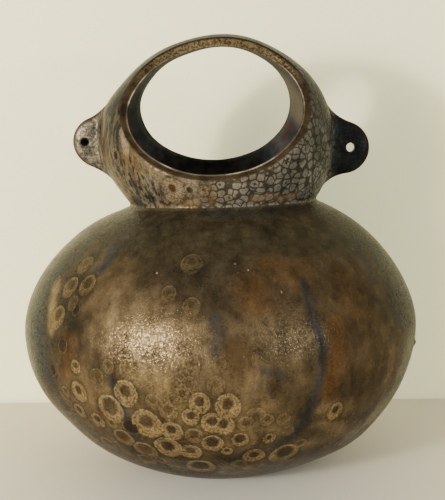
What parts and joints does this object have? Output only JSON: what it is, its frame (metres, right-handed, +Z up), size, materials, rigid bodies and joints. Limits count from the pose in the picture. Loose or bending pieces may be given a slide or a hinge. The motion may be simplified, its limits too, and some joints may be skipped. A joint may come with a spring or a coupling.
{
  "type": "handled clay pot",
  "caption": "Round-bellied clay pot with a hollow bulb on top, cut through by an oval window that leaves a broad carrying strap, and a pierced lug on each side.",
  "frame": {"origin": "middle of the flat foot, on the surface the pot stands on", "axes": "+Z up through the bulb, +X towards the lower-set lug, the window faces -Y and +Y, with the pictured side at -Y"},
  "size_m": [0.24, 0.24, 0.2633],
  "materials": {
    "fired_clay": "satin brown glaze with ringed ochre spots"
  },
  "bodies": {
    "root": {"pot": "fired_clay"}
  },
  "joints": []
}
